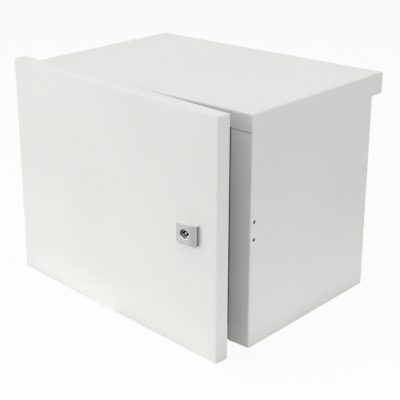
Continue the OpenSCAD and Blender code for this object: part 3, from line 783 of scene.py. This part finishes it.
def white_world():
    """White where it is seen, and a softer white as light."""
    world = bpy.data.worlds.new("studio")
    scene.world = world
    world.use_nodes = True
    tree = world.node_tree
    tree.nodes.clear()
    out = tree.nodes.new("ShaderNodeOutputWorld")
    mixed = light_path_mix(tree, background(tree, 1.0), background(tree, WORLD_STRENGTH))
    tree.links.new(mixed, out.inputs["Surface"])


def pale_floor():
    """Matt floor that looks nearly white where it is seen, and keeps the object's shadow."""
    material = bpy.data.materials.new("floor")
    material.use_nodes = True
    tree = material.node_tree
    tree.nodes.clear()
    matt = tree.nodes.new("ShaderNodeBsdfDiffuse")
    matt.inputs["Color"].default_value = (*FLOOR, 1.0)
    white = tree.nodes.new("ShaderNodeEmission")
    white.inputs["Color"].default_value = (*WHITE, 1.0)
    white.inputs["Strength"].default_value = 1.0
    pale = tree.nodes.new("ShaderNodeMixShader")
    pale.inputs["Fac"].default_value = FLOOR_GLOW
    tree.links.new(matt.outputs["BSDF"], pale.inputs[1])
    tree.links.new(white.outputs["Emission"], pale.inputs[2])
    out = tree.nodes.new("ShaderNodeOutputMaterial")
    mixed = light_path_mix(tree, pale.outputs["Shader"], matt.outputs["BSDF"])
    tree.links.new(mixed, out.inputs["Surface"])
    mesh = bpy.data.meshes.new("floor")
    half = FLOOR_SIZE / 2
    corners = [(-half, -half, 0.0), (half, -half, 0.0), (half, half, 0.0), (-half, half, 0.0)]
    mesh.from_pydata(corners, [], [(0, 1, 2, 3)])
    mesh.materials.append(material)
    floor = bpy.data.objects.new("floor", mesh)
    scene.collection.objects.link(floor)


def area_lamp(name, place, turn, size, power):
    """Rectangular lamp that the camera doesn't see."""
    data = bpy.data.lights.new(name, "AREA")
    data.shape = "RECTANGLE"
    data.size, data.size_y = size
    data.energy = power
    lamp = bpy.data.objects.new(name, data)
    lamp.location = place
    lamp.rotation_euler = turn
    lamp.visible_camera = False
    scene.collection.objects.link(lamp)


def soft_lamp(name, place, aim, side, power):
    """A square soft box that is aimed at a point."""
    turn = (Vector(aim) - Vector(place)).to_track_quat("-Z", "Y").to_euler()
    area_lamp(name, place, turn, (side, side), power)


def table_lamp(name, start, end, depth, power):
    """A lit strip of the table that runs along one line and reaches out on its right-hand side."""
    start, end = (Vector((point[0], point[1], LAMP_LEVEL)) for point in (start, end))
    along = end - start
    out = along.normalized().cross(UP)
    turn = (math.pi, 0.0, math.atan2(along.y, along.x))
    area_lamp(name, (start + end) / 2 + out * depth / 2, turn, (along.length, depth), power)


def foot_lamps():
    """Narrow strips of light along the feet of the door and the right wall."""
    ends = (-DOOR_HALF_WIDTH, DOOR_HALF_WIDTH)
    left, right = (DOOR_TURN @ Vector((x, DOOR_FACE - FOOT_GAP, 0.0)) for x in ends)
    table_lamp("door_foot", left, right, depth=FOOT_DEPTH, power=0.0126)
    low, high = box("body_wrap")
    wall = high.x + FOOT_GAP
    table_lamp("side_foot", (wall, low.y), (wall, high.y), depth=FOOT_DEPTH, power=0.005)


def photo_camera():
    """Camera at the photograph's place and angle."""
    angles = (CAMERA_AZIMUTH, CAMERA_ELEVATION, CAMERA_ROLL)
    azimuth, elevation, roll = (math.radians(angle) for angle in angles)
    back = Vector((
        math.sin(azimuth) * math.cos(elevation),
        -math.cos(azimuth) * math.cos(elevation),
        math.sin(elevation),
    ))
    right = Vector((math.cos(azimuth), math.sin(azimuth), 0.0))
    up = back.cross(right)
    tilted_right = math.cos(roll) * right + math.sin(roll) * up
    tilted_up = math.cos(roll) * up - math.sin(roll) * right
    turn = Matrix((tilted_right, tilted_up, back)).transposed().to_4x4()
    data = bpy.data.cameras.new("camera")
    data.sensor_width = SENSOR
    data.lens = CAMERA_LENS
    camera = bpy.data.objects.new("camera", data)
    camera.matrix_world = Matrix.Translation(CAMERA_AT) @ turn
    scene.collection.objects.link(camera)
    scene.camera = camera


photo_camera()
white_world()
pale_floor()
soft_lamp("front_high", place=(-0.6, -2.2, 2.0), aim=(0.0, -0.1, 0.2), side=1.6, power=3.0)
soft_lamp("top", place=(0.0, 0.0, 2.2), aim=(0.0, 0.0, 0.2), side=1.6, power=9.3)
soft_lamp("left_front", place=(-1.4, -1.4, 0.6), aim=(-0.1, -0.2, 0.2), side=1.0, power=6.5)
soft_lamp("right_front", place=(1.5, -1.7, 1.8), aim=(0.23, -0.16, 0.2), side=0.8, power=8.5)
table_lamp("table_front", start=(-0.60, -0.24), end=(0.24, -0.24), depth=0.31, power=0.213)
table_lamp("table_left", start=(-0.60, -0.21), end=(0.00, -0.21), depth=0.29, power=0.15)
table_lamp("table_right", start=(0.27, -0.30), end=(0.27, 0.32), depth=0.45, power=0.195)
foot_lamps()
